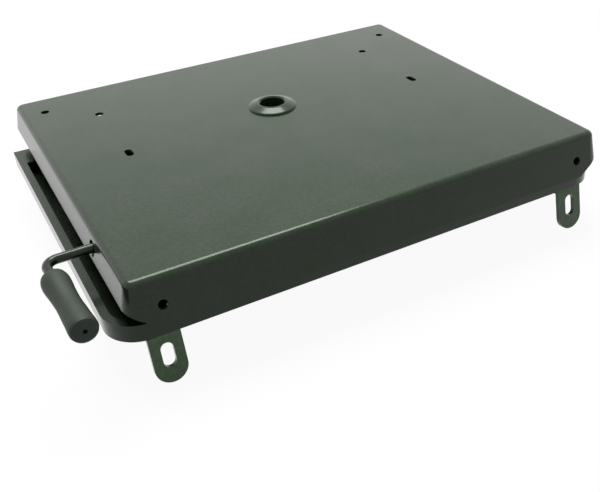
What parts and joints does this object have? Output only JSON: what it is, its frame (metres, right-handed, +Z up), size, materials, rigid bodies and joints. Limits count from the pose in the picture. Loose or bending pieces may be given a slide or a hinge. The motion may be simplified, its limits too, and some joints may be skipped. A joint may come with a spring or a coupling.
{
  "type": "seat swivel base",
  "caption": "Folded steel turntable for a vehicle seat: a holed top plate turns on a hollow pivot over a shallow bolt-down tray and is held by a side lock lever.",
  "frame": {"origin": "on the swivel axis, in the plane of the tray's underside", "axes": "+X to the right seen from the front, +Y towards the back, +Z up along the swivel axis"},
  "size_m": [0.5187, 0.3961, 0.1023],
  "materials": {
    "green_paint": "satin grey-green paint",
    "dark_steel": "plain pressed steel",
    "plated_steel": "zinc plated",
    "nylon": "plain",
    "grip_rubber": "matt moulded"
  },
  "bodies": {
    "base": {"base_tray": "green_paint", "ear_left": "green_paint", "ear_right": "green_paint", "base_drum": "dark_steel", "index_plate": "dark_steel", "index_rivets": "plated_steel", "slide_ring": "nylon"},
    "turntable": {"top_plate": "green_paint", "bearing_plate": "dark_steel", "top_drum": "dark_steel", "bearing_rivets": "plated_steel", "pivot_tube": "green_paint", "slip_washer": "nylon", "pivot_washer": "plated_steel", "pivot_nut": "plated_steel", "rod_bracket": "dark_steel", "finger_bracket": "dark_steel"},
    "lever": {"lever_rod": "green_paint", "lever_grip": "grip_rubber", "latch_finger": "plated_steel", "rod_collar": "plated_steel", "spring_washer": "plated_steel", "rod_clip": "plated_steel"}
  },
  "joints": [
    {"name": "swivel", "type": "hinge", "parent": "base", "child": "turntable", "pos_m": [0, 0, 0], "axis": [0, 0, 1], "continuous": true},
    {"name": "lock_lever", "type": "hinge", "parent": "turntable", "child": "lever", "pos_m": [0, -0.136, 0.0415], "axis": [1, 0, 0], "range_deg": [0, 22]}
  ]
}
